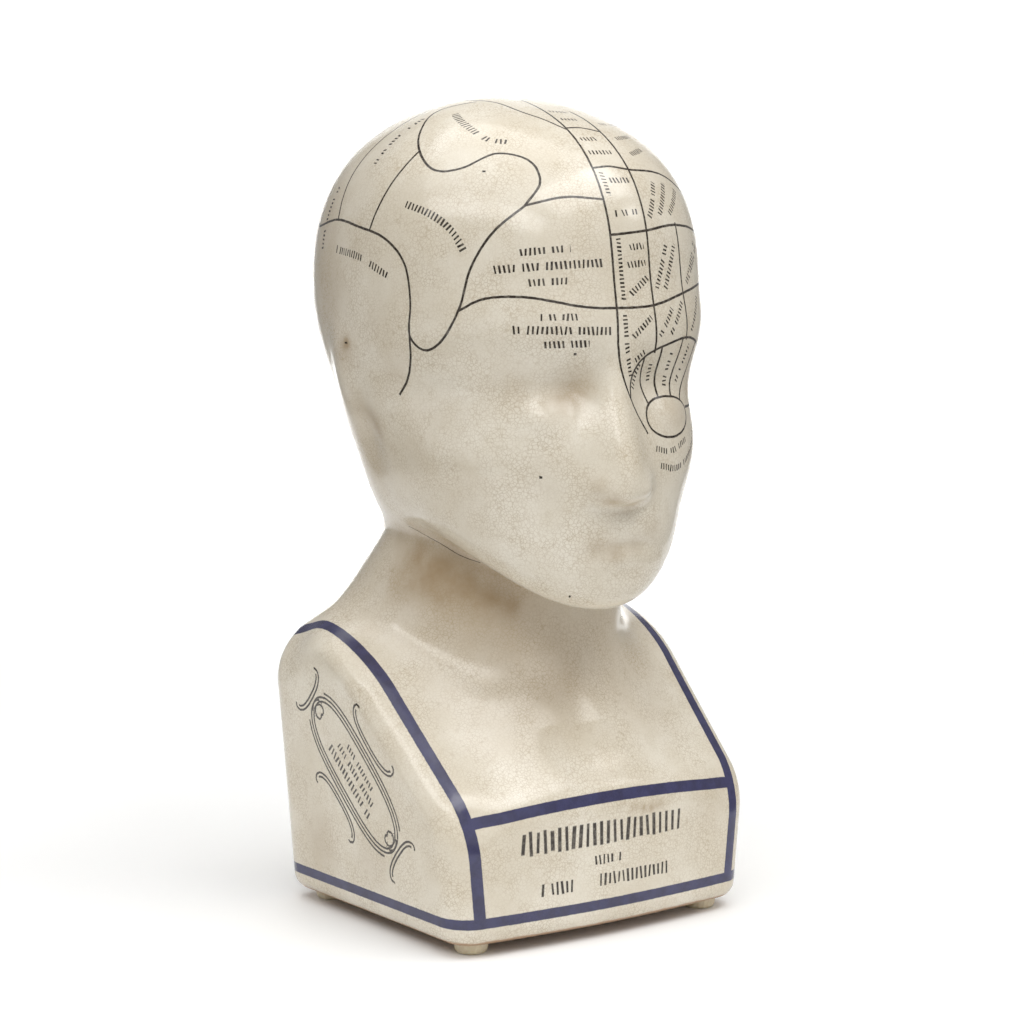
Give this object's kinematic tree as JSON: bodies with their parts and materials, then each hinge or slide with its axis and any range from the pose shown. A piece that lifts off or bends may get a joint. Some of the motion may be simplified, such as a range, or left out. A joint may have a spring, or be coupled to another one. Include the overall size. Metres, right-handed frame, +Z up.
{
  "type": "phrenology head",
  "caption": "Bald study head with a painted map of the skull, on sloping shoulders and a square block base edged with blue bands, standing on low pads.",
  "frame": {"origin": "on the ground the pads stand on, under the middle of the part's outer box; the middle of the base is 2 mm in front of it", "axes": "+Z up, -Y towards the front panel and the face, +X towards the bust's own left"},
  "size_m": [0.1446, 0.1742, 0.2944],
  "materials": {
    "glaze": "glossy ivory crackle glaze with brown-black painted lines and cobalt bands",
    "pad": "satin cream, yellowed"
  },
  "bodies": {
    "root": {"bust": "glaze", "pad_front_right": "pad", "pad_front_left": "pad", "pad_back_right": "pad", "pad_back_left": "pad"}
  },
  "joints": []
}
